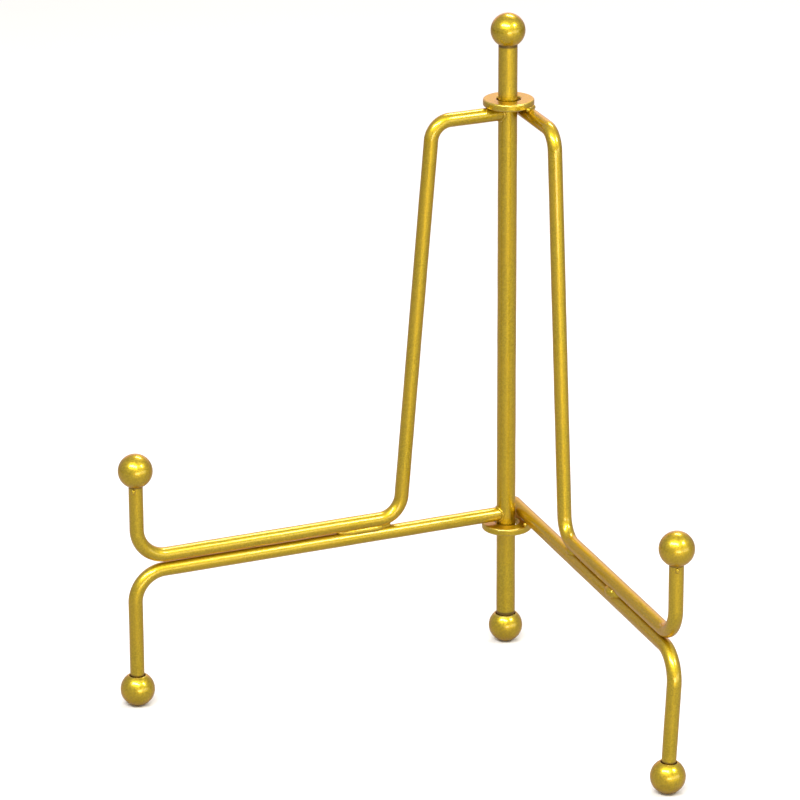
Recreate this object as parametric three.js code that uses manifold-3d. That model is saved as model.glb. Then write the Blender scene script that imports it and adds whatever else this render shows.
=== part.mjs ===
// A folding wire display easel for an album, plate or picture. Millimetres, +Z up.
//
// One round post stands on a ball foot. The left wing, two bent wires, is welded to the post.
// The right wing is the same two bent wires welded to a pair of washers that turn freely on
// the post, so it swings shut against the left wing and open past it.
//
// The origin is on the post's axis at the level the feet stand on. The open front faces -Y.
// Each wing is drawn in a frame of its own: +X runs out from the post along the wing's arms,
// +Z is up, and the group that holds the wing turns it about the post.

import * as THREE from "three";
import { mergeVertices } from "three/addons/utils/BufferGeometryUtils.js";
import Module from "manifold-3d";

const wasm = await Module();
wasm.setup();

// ---- Stock and fits ----
const POST_DIAMETER = 6;
const WIRE_DIAMETER = 4.5;
const BALL_DIAMETER = 10.8;
const CONTACT_GAP = 0.3; // between pieces that touch or are welded
const RUNNING_CLEARANCE = 0.3; // between the swinging wires and what they pass
const ROD_SEAT = 1.5; // from a ball's centre to the end of the rod inside it
const FOOT_FLAT_DIAMETER = 2.4; // worn flat that a foot stands on

// ---- Both wings ----
const OPENING_ANGLE = 86; // between the wings as the stand is set out
const ARM_HEIGHT = 43.9; // centre of the lower wire's arm
const LEG_REACH = 126.5; // post axis to leg
const LEG_BEND_RADIUS = 9.7;
const HOOK_SETBACK = 0.9; // the hook stands this much nearer the post than the leg
const HOOK_RISE = 29; // ledge centre to the centre of the hook's ball
const HOOK_BEND_RADIUS = 9.6;
const BACKREST_FOOT_REACH = 37; // post axis to the corner where the backrest leaves the ledge
const BACKREST_FOOT_BEND_RADIUS = 7.6;
const BACKREST_HEAD_REACH = 25.5;
const BACKREST_HEAD_BEND_RADIUS = 6.4;
const BACKREST_RISE = 128.2; // ledge centre to the centre of the top arm
const HEAD_RISE = 26.4; // top arm to the centre of the post's top ball

// ---- Right wing only ----
const ARM_PAST_POST = 7.5; // length of each arm behind the post, under or over its washer
const RIGHT_LEG_TURN = 3; // degrees the leg is turned about its arm, towards the left wing

// ---- Washers ----
const WASHER_DIAMETER = 16;
const WASHER_THICKNESS = 2.2;
const WASHER_PLAY = 0.75; // around the post
const WASHER_EDGE = 0.3; // chamfer on all four edges

// ---- Weld beads ----
const COLLAR_THICKNESS = 0.45; // around a left arm where it meets the post
const COLLAR_LENGTH = 1.8;
const LEDGE_BEAD_WIDTH = 2.6;
const LEDGE_BEAD_HEIGHT = 3.6;
const LEFT_LEDGE_BEAD_LENGTH = 17;
const RIGHT_INNER_BEAD_LENGTH = 5;
const RIGHT_OUTER_BEAD_LENGTH = 8;
const RIGHT_OUTER_BEAD_REACH = 76;
const WASHER_BEAD_LENGTH = 3.6;
const WASHER_BEAD_WIDTH = 3.6;
const WASHER_BEAD_HEIGHT = 2.8;

// ---- Facets ----
const ROD_SIDES = 16;
const POST_SIDES = 32;
const BALL_SIDES = 24;
const WASHER_SIDES = 48;
const BEAD_SIDES = 16;
const BEND_STEP = 10; // degrees of bend between sections

// ---- Worked out from the above ----
const POST_RADIUS = POST_DIAMETER / 2;
const WIRE_RADIUS = WIRE_DIAMETER / 2;
const BALL_RADIUS = BALL_DIAMETER / 2;
const WASHER_RADIUS = WASHER_DIAMETER / 2;
const COLLAR_RADIUS = WIRE_RADIUS + CONTACT_GAP + COLLAR_THICKNESS;
const FOOT_BALL_HEIGHT = Math.sqrt(BALL_RADIUS ** 2 - (FOOT_FLAT_DIAMETER / 2) ** 2);
const LEDGE_HEIGHT = ARM_HEIGHT + WIRE_DIAMETER + CONTACT_GAP;
const TOP_ARM_HEIGHT = LEDGE_HEIGHT + BACKREST_RISE;
const HOOK_REACH = LEG_REACH - HOOK_SETBACK;
const HOOK_BALL_HEIGHT = LEDGE_HEIGHT + HOOK_RISE;
const TOP_BALL_HEIGHT = TOP_ARM_HEIGHT + HEAD_RISE;
const WASHER_LIFT = WIRE_RADIUS + CONTACT_GAP + WASHER_THICKNESS / 2; // arm centre to washer centre
const UPPER_WASHER_HEIGHT = TOP_ARM_HEIGHT + WASHER_LIFT;
const LOWER_WASHER_HEIGHT = ARM_HEIGHT - WASHER_LIFT;
const SWING_OFFSET = Math.max(POST_RADIUS, COLLAR_RADIUS) + RUNNING_CLEARANCE + WIRE_RADIUS;
const BEYOND = 2 * BALL_DIAMETER; // longer than anything a cutter has to pass through
const X_AXIS = new THREE.Vector3(1, 0, 0);
const Y_AXIS = new THREE.Vector3(0, 1, 0);
const Z_AXIS = new THREE.Vector3(0, 0, 1);

// innerEnd is where the arms stop, offset how far the wires stand beside the post's axis, and
// inward the side of the wing that faces the album.
const LEFT = { side: "left", innerEnd: POST_RADIUS / 2, offset: 0, inward: 1, legTurn: 0 };
const RIGHT = {
  side: "right",
  innerEnd: -ARM_PAST_POST,
  offset: SWING_OFFSET,
  inward: -1,
  legTurn: THREE.MathUtils.degToRad(RIGHT_LEG_TURN),
};

// ---- Solids and meshes ----

function solidFrom(geometry) {
  const bare = geometry.clone();
  bare.deleteAttribute("normal");
  bare.deleteAttribute("uv");
  const merged = mergeVertices(bare);
  return new wasm.Manifold(
    new wasm.Mesh({
      numProp: 3,
      vertProperties: Float32Array.from(merged.attributes.position.array),
      triVerts: Uint32Array.from(merged.index.array),
    }),
  );
}

function geometryFrom(solid) {
  const { vertProperties, triVerts } = solid.getMesh();
  const geometry = new THREE.BufferGeometry();
  geometry.setAttribute("position", new THREE.BufferAttribute(vertProperties, 3));
  geometry.setIndex(new THREE.BufferAttribute(triVerts, 1));
  geometry.computeVertexNormals();
  return geometry;
}

function cutAway(geometry, cutters) {
  const body = cutters.reduce((solid, cutter) => solid.subtract(solidFrom(cutter)), solidFrom(geometry));
  return geometryFrom(body);
}

function paintedMesh(name, geometry, roughness) {
  const goldPaint = new THREE.MeshStandardMaterial({ color: 0xbb9a35, roughness, metalness: 0.85 });
  const mesh = new THREE.Mesh(geometry, goldPaint);
  mesh.name = name;
  return mesh;
}

// ---- Bent rods ----

// A line through knots, one equal step of its parameter to each knot, so that a rod swept
// along it has one section at each knot: two for a straight run, several round a bend.
class KnottedLine extends THREE.Curve {
  constructor(knots) {
    super();
    this.knots = knots;
  }

  getPoint(t, target = new THREE.Vector3()) {
    const place = t * (this.knots.length - 1);
    const before = Math.min(Math.floor(place), this.knots.length - 2);
    return target.lerpVectors(this.knots[before], this.knots[before + 1], place - before);
  }

  getUtoTmapping(u) {
    return u;
  }
}

// How far from its corner a bend begins, for the corner between two unit directions.
function bendTangent(radius, incoming, outgoing) {
  return radius * Math.tan(incoming.angleTo(outgoing) / 2);
}

// The knots of a round bend of the given centre-line radius at a corner.
function bendKnots(corner, incoming, outgoing, radius) {
  const turn = incoming.angleTo(outgoing);
  const start = corner.clone().addScaledVector(incoming, -bendTangent(radius, incoming, outgoing));
  const axis = incoming.clone().cross(outgoing).normalize();
  const centre = axis.clone().cross(incoming).multiplyScalar(radius).add(start);
  const steps = Math.ceil(THREE.MathUtils.radToDeg(turn) / BEND_STEP);
  return Array.from({ length: steps + 1 }, (_, step) =>
    start.clone().sub(centre).applyAxisAngle(axis, (turn * step) / steps).add(centre),
  );
}

// corners are [reach, height] in the wing's upright plane; each inner one has a bend radius.
function rodKnots(corners, bendRadii, offset) {
  const points = corners.map(([reach, height]) => new THREE.Vector3(reach, offset, height));
  const directions = points.slice(1).map((point, i) => point.clone().sub(points[i]).normalize());
  const bends = bendRadii.flatMap((radius, i) =>
    bendKnots(points[i + 1], directions[i], directions[i + 1], radius),
  );
  return [points[0], ...bends, points.at(-1)];
}

function rodGeometry(knots, radius) {
  const section = new THREE.Shape().absarc(0, 0, radius, 0, 2 * Math.PI);
  return new THREE.ExtrudeGeometry(section, {
    steps: knots.length - 1,
    extrudePath: new KnottedLine(knots),
    bevelEnabled: false,
    curveSegments: ROD_SIDES / 2,
  });
}

function cylinderAlong(axis, radius, length, centre, sides) {
  const cylinder = new THREE.CylinderGeometry(radius, radius, length, sides);
  cylinder.applyQuaternion(new THREE.Quaternion().setFromUnitVectors(Y_AXIS, axis));
  return cylinder.translate(centre.x, centre.y, centre.z);
}

// ---- Cutters: a neighbour grown by the contact gap ----

function postCutter() {
  const centre = new THREE.Vector3(0, 0, TOP_BALL_HEIGHT / 2);
  return cylinderAlong(Z_AXIS, POST_RADIUS + CONTACT_GAP, TOP_BALL_HEIGHT, centre, POST_SIDES);
}

function armCutter(offset, height) {
  const centre = new THREE.Vector3(HOOK_REACH / 2, offset, height);
  const length = HOOK_REACH + 2 * BEYOND;
  return cylinderAlong(X_AXIS, WIRE_RADIUS + CONTACT_GAP, length, centre, ROD_SIDES);
}

function washerCutter(height) {
  const centre = new THREE.Vector3(0, 0, height);
  const thickness = WASHER_THICKNESS + 2 * CONTACT_GAP;
  return cylinderAlong(Z_AXIS, WASHER_RADIUS + CONTACT_GAP, thickness, centre, WASHER_SIDES);
}

// ---- Balls ----

// A ball drilled for the rod that it sits on. towardsRod points from its centre along the rod.
function ballMesh(name, centre, towardsRod, rodRadius, standsOnFloor) {
  const socketFloor = ROD_SEAT - CONTACT_GAP;
  const socketCentre = towardsRod.clone().multiplyScalar(socketFloor + BEYOND / 2);
  const cutters = [cylinderAlong(towardsRod, rodRadius + CONTACT_GAP, BEYOND, socketCentre, ROD_SIDES)];
  if (standsOnFloor) {
    const floor = new THREE.BoxGeometry(BEYOND, BEYOND, BEYOND);
    cutters.push(floor.translate(0, 0, -FOOT_BALL_HEIGHT - BEYOND / 2));
  }
  const ball = new THREE.SphereGeometry(BALL_RADIUS, BALL_SIDES, BALL_SIDES / 2);
  const mesh = paintedMesh(name, cutAway(ball, cutters), 0.32);
  mesh.position.copy(centre);
  return mesh;
}

// ---- Post ----

function post() {
  const bottom = FOOT_BALL_HEIGHT + ROD_SEAT;
  const top = TOP_BALL_HEIGHT - ROD_SEAT;
  const centre = new THREE.Vector3(0, 0, (bottom + top) / 2);
  const group = new THREE.Group();
  group.add(paintedMesh("post", cylinderAlong(Z_AXIS, POST_RADIUS, top - bottom, centre, POST_SIDES), 0.4));
  const foot = new THREE.Vector3(0, 0, FOOT_BALL_HEIGHT);
  group.add(ballMesh("rear_foot_ball", foot, Z_AXIS, POST_RADIUS, true));
  const head = new THREE.Vector3(0, 0, TOP_BALL_HEIGHT);
  group.add(ballMesh("top_ball", head, Z_AXIS.clone().negate(), POST_RADIUS, false));
  return group;
}

// ---- Wires ----

// The leg and its bend hang from the arm, turned about it towards the album side.
function turnedAboutArm(knot, wing) {
  const drop = ARM_HEIGHT - knot.z;
  const sideways = wing.inward * drop * Math.sin(wing.legTurn);
  return new THREE.Vector3(knot.x, knot.y + sideways, ARM_HEIGHT - drop * Math.cos(wing.legTurn));
}

function lowerWire(wing) {
  const legLength = (ARM_HEIGHT - FOOT_BALL_HEIGHT) / Math.cos(wing.legTurn);
  const corners = [
    [LEG_REACH, ARM_HEIGHT - legLength + ROD_SEAT],
    [LEG_REACH, ARM_HEIGHT],
    [wing.innerEnd, ARM_HEIGHT],
  ];
  const knots = rodKnots(corners, [LEG_BEND_RADIUS], wing.offset);
  return rodGeometry(knots.map((knot) => turnedAboutArm(knot, wing)), WIRE_RADIUS);
}

function upperWire(wing) {
  const corners = [
    [HOOK_REACH, HOOK_BALL_HEIGHT - ROD_SEAT],
    [HOOK_REACH, LEDGE_HEIGHT],
    [BACKREST_FOOT_REACH, LEDGE_HEIGHT],
    [BACKREST_HEAD_REACH, TOP_ARM_HEIGHT],
    [wing.innerEnd, TOP_ARM_HEIGHT],
  ];
  const radii = [HOOK_BEND_RADIUS, BACKREST_FOOT_BEND_RADIUS, BACKREST_HEAD_BEND_RADIUS];
  return rodGeometry(rodKnots(corners, radii, wing.offset), WIRE_RADIUS);
}

function footBall(wing) {
  const sideways = wing.inward * (ARM_HEIGHT - FOOT_BALL_HEIGHT) * Math.tan(wing.legTurn);
  const centre = new THREE.Vector3(LEG_REACH, wing.offset + sideways, FOOT_BALL_HEIGHT);
  const upLeg = Z_AXIS.clone().applyAxisAngle(X_AXIS, wing.inward * wing.legTurn);
  return ballMesh(`${wing.side}_foot_ball`, centre, upLeg, WIRE_RADIUS, true);
}

function hookBall(wing) {
  const centre = new THREE.Vector3(HOOK_REACH, wing.offset, HOOK_BALL_HEIGHT);
  return ballMesh(`${wing.side}_hook_ball`, centre, Z_AXIS.clone().negate(), WIRE_RADIUS, false);
}

// ---- Weld beads ----

function beadBlank(length, width, height, centre) {
  const blank = new THREE.SphereGeometry(0.5, BEAD_SIDES, BEAD_SIDES / 2);
  return blank.scale(length, width, height).translate(centre.x, centre.y, centre.z);
}

// Where the ledge wire has come down to lie along the lower wire.
function ledgeStart() {
  const alongLedge = X_AXIS.clone().negate();
  const lean = BACKREST_HEAD_REACH - BACKREST_FOOT_REACH;
  const upBackrest = new THREE.Vector3(lean, 0, BACKREST_RISE).normalize();
  return BACKREST_FOOT_REACH + bendTangent(BACKREST_FOOT_BEND_RADIUS, alongLedge, upBackrest);
}

// A bead in the groove between the stacked wires, on the side that faces the album.
function ledgeBead(name, wing, reach, length) {
  const middle = (ARM_HEIGHT + LEDGE_HEIGHT) / 2;
  const centre = new THREE.Vector3(reach, wing.offset + wing.inward * WIRE_RADIUS, middle);
  const blank = beadBlank(length, LEDGE_BEAD_WIDTH, LEDGE_BEAD_HEIGHT, centre);
  const cutters = [armCutter(wing.offset, ARM_HEIGHT), armCutter(wing.offset, LEDGE_HEIGHT)];
  return paintedMesh(name, cutAway(blank, cutters), 0.5);
}

// A collar of weld round a left arm, against the post and cut off level with the washer.
function postCollar(name, armHeight, washerHeight) {
  const start = POST_RADIUS / 2;
  const end = POST_RADIUS + CONTACT_GAP + COLLAR_LENGTH;
  const bore = WIRE_RADIUS + CONTACT_GAP;
  const profile = [
    [bore, start],
    [COLLAR_RADIUS, start],
    [COLLAR_RADIUS, end - COLLAR_THICKNESS],
    [bore, end],
    [bore, start],
  ].map(([radius, along]) => new THREE.Vector2(radius, along));
  const ring = new THREE.LatheGeometry(profile, ROD_SIDES);
  ring.applyQuaternion(new THREE.Quaternion().setFromUnitVectors(Y_AXIS, X_AXIS));
  ring.translate(0, 0, armHeight);
  return paintedMesh(name, cutAway(ring, [postCutter(), washerCutter(washerHeight)]), 0.5);
}

// A bead where a right arm comes out past its washer's rim.
function washerBead(name, armHeight, washerHeight) {
  const rimReach = Math.sqrt((WASHER_RADIUS + CONTACT_GAP) ** 2 - SWING_OFFSET ** 2);
  const centre = new THREE.Vector3(rimReach, SWING_OFFSET, washerHeight);
  const blank = beadBlank(WASHER_BEAD_LENGTH, WASHER_BEAD_WIDTH, WASHER_BEAD_HEIGHT, centre);
  const cutters = [armCutter(SWING_OFFSET, armHeight), washerCutter(washerHeight)];
  return paintedMesh(name, cutAway(blank, cutters), 0.5);
}

// ---- Washers ----

function washerMesh(name, height) {
  const hole = POST_RADIUS + WASHER_PLAY;
  const half = WASHER_THICKNESS / 2;
  const profile = [
    [hole, half - WASHER_EDGE],
    [hole, WASHER_EDGE - half],
    [hole + WASHER_EDGE, -half],
    [WASHER_RADIUS - WASHER_EDGE, -half],
    [WASHER_RADIUS, WASHER_EDGE - half],
    [WASHER_RADIUS, half - WASHER_EDGE],
    [WASHER_RADIUS - WASHER_EDGE, half],
    [hole + WASHER_EDGE, half],
    [hole, half - WASHER_EDGE],
  ].map(([radius, z]) => new THREE.Vector2(radius, z));
  const ring = new THREE.LatheGeometry(profile, WASHER_SIDES);
  ring.applyQuaternion(new THREE.Quaternion().setFromUnitVectors(Y_AXIS, Z_AXIS));
  const mesh = paintedMesh(name, ring, 0.36);
  mesh.position.z = height;
  return mesh;
}

// ---- Wings ----

function leftWing() {
  const wing = new THREE.Group();
  const beadReach = ledgeStart() + LEFT_LEDGE_BEAD_LENGTH / 2;
  wing.add(
    paintedMesh("left_lower_wire", cutAway(lowerWire(LEFT), [postCutter()]), 0.38),
    paintedMesh("left_upper_wire", cutAway(upperWire(LEFT), [postCutter()]), 0.38),
    footBall(LEFT),
    hookBall(LEFT),
    postCollar("weld_left_arm_to_post", ARM_HEIGHT, LOWER_WASHER_HEIGHT),
    postCollar("weld_left_top_arm_to_post", TOP_ARM_HEIGHT, UPPER_WASHER_HEIGHT),
    ledgeBead("weld_left_ledge", LEFT, beadReach, LEFT_LEDGE_BEAD_LENGTH),
  );
  wing.rotation.z = THREE.MathUtils.degToRad(-90 - OPENING_ANGLE / 2);
  return wing;
}

function rightWing() {
  const wing = new THREE.Group();
  const innerBeadReach = ledgeStart() + RIGHT_INNER_BEAD_LENGTH / 2;
  wing.add(
    washerMesh("upper_washer", UPPER_WASHER_HEIGHT),
    washerMesh("lower_washer", LOWER_WASHER_HEIGHT),
    paintedMesh("right_lower_wire", lowerWire(RIGHT), 0.38),
    paintedMesh("right_upper_wire", upperWire(RIGHT), 0.38),
    footBall(RIGHT),
    hookBall(RIGHT),
    washerBead("weld_upper_washer", TOP_ARM_HEIGHT, UPPER_WASHER_HEIGHT),
    washerBead("weld_lower_washer", ARM_HEIGHT, LOWER_WASHER_HEIGHT),
    ledgeBead("weld_right_ledge_inner", RIGHT, innerBeadReach, RIGHT_INNER_BEAD_LENGTH),
    ledgeBead("weld_right_ledge_outer", RIGHT, RIGHT_OUTER_BEAD_REACH, RIGHT_OUTER_BEAD_LENGTH),
  );
  wing.rotation.z = THREE.MathUtils.degToRad(-90 + OPENING_ANGLE / 2);
  return wing;
}

const stand = new THREE.Group();
stand.add(post(), leftWing(), rightWing());
export default stand;
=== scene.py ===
"""The painted looks of a folding wire display easel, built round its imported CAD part.

Metres, +Z up, in the CAD part's own frame. The post and the four bent wires are swept by one
geometry node tree and the weld runs by another. The balls and washers are turned profiles.
Everything is gold paint on metal, with one finish for each kind of piece.
"""

import logging
import math
from dataclasses import dataclass, field
from enum import Enum

import bmesh
import bpy
from mathutils import Matrix, Vector


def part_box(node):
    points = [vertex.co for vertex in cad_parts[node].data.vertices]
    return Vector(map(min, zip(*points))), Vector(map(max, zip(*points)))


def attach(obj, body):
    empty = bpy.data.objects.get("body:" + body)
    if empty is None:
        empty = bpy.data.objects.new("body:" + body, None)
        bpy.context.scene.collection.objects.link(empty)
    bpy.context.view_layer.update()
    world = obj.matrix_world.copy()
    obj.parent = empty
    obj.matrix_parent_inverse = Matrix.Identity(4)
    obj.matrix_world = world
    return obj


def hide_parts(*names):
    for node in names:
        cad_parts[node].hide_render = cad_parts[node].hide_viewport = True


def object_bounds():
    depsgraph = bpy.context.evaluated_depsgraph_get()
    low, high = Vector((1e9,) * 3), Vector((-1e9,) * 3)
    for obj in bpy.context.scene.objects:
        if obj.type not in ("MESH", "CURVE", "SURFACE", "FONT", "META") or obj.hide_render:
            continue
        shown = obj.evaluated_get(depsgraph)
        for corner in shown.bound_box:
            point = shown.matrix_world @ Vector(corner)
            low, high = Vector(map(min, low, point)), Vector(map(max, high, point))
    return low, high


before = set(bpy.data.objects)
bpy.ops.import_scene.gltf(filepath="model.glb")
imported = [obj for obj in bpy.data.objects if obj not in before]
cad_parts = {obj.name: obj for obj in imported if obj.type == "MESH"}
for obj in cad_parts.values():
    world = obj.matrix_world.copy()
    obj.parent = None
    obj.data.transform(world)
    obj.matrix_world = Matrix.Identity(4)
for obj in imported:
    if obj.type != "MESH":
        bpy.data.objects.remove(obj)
CAD_LOW, CAD_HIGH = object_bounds()

LOG = logging.getLogger("easel")
MM = 0.001
UP = Vector((0, 0, 1))

# The band that most of a noise's values lie in.
NOISE_LOW, NOISE_HIGH = 0.3, 0.7

# Blender's places for the colour sockets of a Mix node and the number sockets of a Random Value node.
MIX_FIRST, MIX_SECOND, MIX_RESULT = 6, 7, 2
RANDOM_LOW, RANDOM_HIGH, RANDOM_RESULT = 2, 3, 1


class Body(Enum):
    """The CAD bodies that pieces ride on."""

    STAND = "post_and_left_wing"
    SWING = "right_wing"


class Slot(Enum):
    """The record's material slots."""

    ROD = "rod_paint"
    BALL = "ball_paint"
    WASHER = "washer_paint"
    WELD = "weld_paint"


class Grain(Enum):
    """How the fine pattern of a finish lies on its pieces."""

    ALONG_ROD = "along_rod"
    ALL_OVER = "all_over"


class Mark(Enum):
    """Attributes that a path or a mesh carries for its tree or its finish."""

    TAPER = "taper"
    # Painted shade in a ring on each rod under its ball, partly unpainted steel.
    SHADE_AND_BARE = "shade_and_bare"
    SKIN = "skin"
    # Lighter edge colour: scuffed paint, partly a painted edge highlight.
    WEAR_AND_HIGHLIGHT = "wear_and_highlight"


# ---- Node building ----


def opaque(colour: tuple[float, float, float]) -> tuple[float, float, float, float]:
    """A colour with its full alpha."""
    return (*colour, 1.0)


@dataclass
class NodeSheet:
    """A node tree being filled in, for a material or for geometry.

    Args:
        tree: The node tree that nodes are added to.
    """

    tree: bpy.types.NodeTree

    def feed(self, socket: bpy.types.NodeSocket, value: object) -> None:
        """Links an output to an input, or sets the input to a constant.

        Args:
            socket: The input.
            value: An output, or a constant of the input's kind.
        """
        if isinstance(value, bpy.types.NodeSocket):
            self.tree.links.new(value, socket)
        else:
            socket.default_value = value

    def add(self, kind: str, inputs: dict[str, object] | None = None, **settings: object) -> bpy.types.Node:
        """Adds a node.

        Args:
            kind: Blender's name for the node's type.
            inputs: What its inputs are fed, by name.
            settings: Properties of the node, by name.

        Returns:
            The new node.
        """
        node = self.tree.nodes.new(kind)
        for key, value in settings.items():
            setattr(node, key, value)
        for key, value in (inputs or {}).items():
            self.feed(node.inputs[key], value)
        return node

    def math(self, operation: str, first: object, second: object) -> bpy.types.NodeSocket:
        """Adds a two-sided sum.

        Args:
            operation: The Math node's operation.
            first: A number or an output.
            second: A number or an output.

        Returns:
            The result's output.
        """
        node = self.add("ShaderNodeMath", operation=operation)
        self.feed(node.inputs[0], first)
        self.feed(node.inputs[1], second)
        return node.outputs[0]

    def noise(self, where: bpy.types.NodeSocket, grain: float, detail: float = 2.0) -> bpy.types.NodeSocket:
        """Adds a noise texture.

        Args:
            where: Output that gives the coordinates, in metres.
            grain: Size of the pattern's grains, in metres.
            detail: Octaves of finer noise.

        Returns:
            The noise's value output.
        """
        pattern = {"Vector": where, "Scale": 1.0 / grain, "Detail": detail}
        return self.add("ShaderNodeTexNoise", pattern).outputs[0]

    def spread(self, value: bpy.types.NodeSocket, low: float, high: float) -> bpy.types.NodeSocket:
        """Spreads a noise's middle band over a range.

        Args:
            value: The noise's output.
            low: Result where the noise is low.
            high: Result where the noise is high.

        Returns:
            The result's output.
        """
        band = {"Value": value, "From Min": NOISE_LOW, "From Max": NOISE_HIGH, "To Min": low, "To Max": high}
        return self.add("ShaderNodeMapRange", band, interpolation_type="SMOOTHSTEP").outputs["Result"]

    def blend(self, share: bpy.types.NodeSocket, first: object, second: object) -> bpy.types.NodeSocket:
        """Mixes two colours.

        Args:
            share: Output that says how much of the second shows.
            first: A colour or an output.
            second: A colour or an output.

        Returns:
            The mixed colour's output.
        """
        node = self.add("ShaderNodeMix", {"Factor": share}, data_type="RGBA")
        for place, value in ((MIX_FIRST, first), (MIX_SECOND, second)):
            self.feed(node.inputs[place], opaque(value) if isinstance(value, tuple) else value)
        return node.outputs[MIX_RESULT]

    def attribute(self, mark: Mark, output: str = "Fac") -> bpy.types.NodeSocket:
        """Reads one of the mesh's attributes in a material."""
        return self.add("ShaderNodeAttribute", attribute_name=mark.value).outputs[output]


def blank_material(name: str) -> tuple[bpy.types.Material, NodeSheet]:
    """Starts a material.

    Args:
        name: The material's name.

    Returns:
        The material and its empty node sheet.
    """
    material = bpy.data.materials.new(name)
    material.use_nodes = True
    material.node_tree.nodes.clear()
    return material, NodeSheet(material.node_tree)


# ---- Finishes ----


@dataclass(frozen=True)
class GoldPaint:
    """Satin gold paint sprayed on metal.

    Args:
        name: Name of the material.
        slot: Material slot of the record that it stands for. Not used.
        grain: How the fine pattern lies.
        deep: Colour between the metal flakes.
        bright: Colour of the flakes.
        warm: Redder colour where the coat is thin, in soft patches.
        worn_and_highlit: Lighter colour along edges: scuffed paint, partly a painted edge highlight.
        shade_and_bare: Dark colour of the ring on a rod under each ball: painted shade where the ball shades
            the rod, partly unpainted steel in the crevice.
        edge_tint: Colour that grazing reflections take.
        warm_share: Most that the redder colour shows.
        rubbed_and_highlit_share: Least and most that the lighter edge colour shows.
        smooth: Roughness where the paint flowed well.
        dusty: Roughness where it dried as it landed.
        polish: How much smoother rubbing makes it.
        flake: Size of the flake pattern.
        flake_depth: Depth of the flakes, as a share of the ripple's.
        peel: Size of the orange-peel ripple.
        peel_depth: Depth of that ripple.
        patch: Size of the colour patches.
        draw_width: Width of the drawing marks along a rod.
        draw_squeeze: How their pattern is scaled along the rod, which makes them long.
        draw_depth: Depth of the marks, as a share of the ripple's.
        soft_swell: Size of the swell that stands for the marks on other pieces, in ripples.
        coat: Strength of the clear top of the paint.
        coat_ior: Refraction of that clear top.
        coat_roughness: Roughness of that clear top.
    """

    name: str
    slot: Slot
    grain: Grain
    deep: tuple[float, float, float] = (0.46, 0.335, 0.009)
    bright: tuple[float, float, float] = (0.62, 0.460, 0.018)
    warm: tuple[float, float, float] = (0.58, 0.385, 0.013)
    # Lighter edge colour: scuffed paint, partly a painted edge highlight.
    worn_and_highlit: tuple[float, float, float] = (0.74, 0.60, 0.16)
    # Painted shade under the balls, partly unpainted steel.
    shade_and_bare: tuple[float, float, float] = (0.18, 0.110, 0.007)
    edge_tint: tuple[float, float, float] = (1.0, 0.49, 0.40)
    warm_share: float = 0.45
    rubbed_and_highlit_share: tuple[float, float] = (0.15, 0.6)
    smooth: float = 0.38
    dusty: float = 0.47
    polish: float = 0.08
    flake: float = 0.55 * MM
    flake_depth: float = 0.3
    peel: float = 1.3 * MM
    peel_depth: float = 0.032 * MM
    patch: float = 16 * MM
    draw_width: float = 0.35 * MM
    draw_squeeze: float = 0.03
    draw_depth: float = 0.4
    soft_swell: float = 3.0
    coat: float = 1.0
    coat_ior: float = 1.5
    coat_roughness: float = 0.1

    @property
    def made(self) -> bpy.types.Material:
        """The material, once it is built."""
        return bpy.data.materials[self.name]

    def build(self) -> None:
        """Builds the material."""
        _, sheet = blank_material(self.name)
        place = sheet.add("ShaderNodeTexCoord").outputs["Object"]
        flakes = sheet.noise(place, self.flake, 3.0)
        patches = sheet.noise(place, self.patch, 1.0)
        peel = sheet.noise(place, self.peel)
        # Share of the lighter edge colour: scuffed paint, partly a painted edge highlight.
        rubbed_and_highlit = sheet.math("MULTIPLY", sheet.attribute(Mark.WEAR_AND_HIGHLIGHT), sheet.spread(peel, *self.rubbed_and_highlit_share))
        normal = self._bump(sheet, peel, self.peel_depth, None)
        normal = self._bump(sheet, self._marks(sheet, place), self.peel_depth * self.draw_depth, normal)
        normal = self._bump(sheet, flakes, self.peel_depth * self.flake_depth, normal)
        paint = sheet.add("ShaderNodeBsdfPrincipled", {
            "Base Color": self._colour(sheet, flakes, patches, rubbed_and_highlit),
            "Metallic": 1.0,
            "Roughness": self._roughness(sheet, flakes, patches, rubbed_and_highlit),
            "Normal": normal,
            "Specular Tint": opaque(self.edge_tint),
            "Coat Weight": self.coat,
            "Coat IOR": self.coat_ior,
            "Coat Roughness": self.coat_roughness,
        })
        sheet.add("ShaderNodeOutputMaterial", {"Surface": paint.outputs[0]})

    def _colour(self, sheet: NodeSheet, flakes: bpy.types.NodeSocket, patches: bpy.types.NodeSocket,
                rubbed_and_highlit: bpy.types.NodeSocket) -> bpy.types.NodeSocket:
        """Colour of the paint: flakes, warm patches, scuffed edges partly painted as a highlight, and
        painted shade under the balls, partly unpainted steel.

        Args:
            sheet: The material's node sheet.
            flakes: The flakes' noise.
            patches: The patches' noise.
            rubbed_and_highlit: Share of the lighter edge colour, scuffed paint partly painted as a
                highlight.

        Returns:
            The colour's output.
        """
        flaked = sheet.blend(sheet.spread(flakes, 0.0, 1.0), self.deep, self.bright)
        patched = sheet.blend(sheet.spread(patches, 0.0, self.warm_share), flaked, self.warm)
        # Lighter edges: scuffed paint, partly a painted edge highlight.
        shown = sheet.blend(rubbed_and_highlit, patched, self.worn_and_highlit)
        # Painted shade in the ring under each ball, partly unpainted steel.
        return sheet.blend(sheet.attribute(Mark.SHADE_AND_BARE), shown, self.shade_and_bare)

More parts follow.
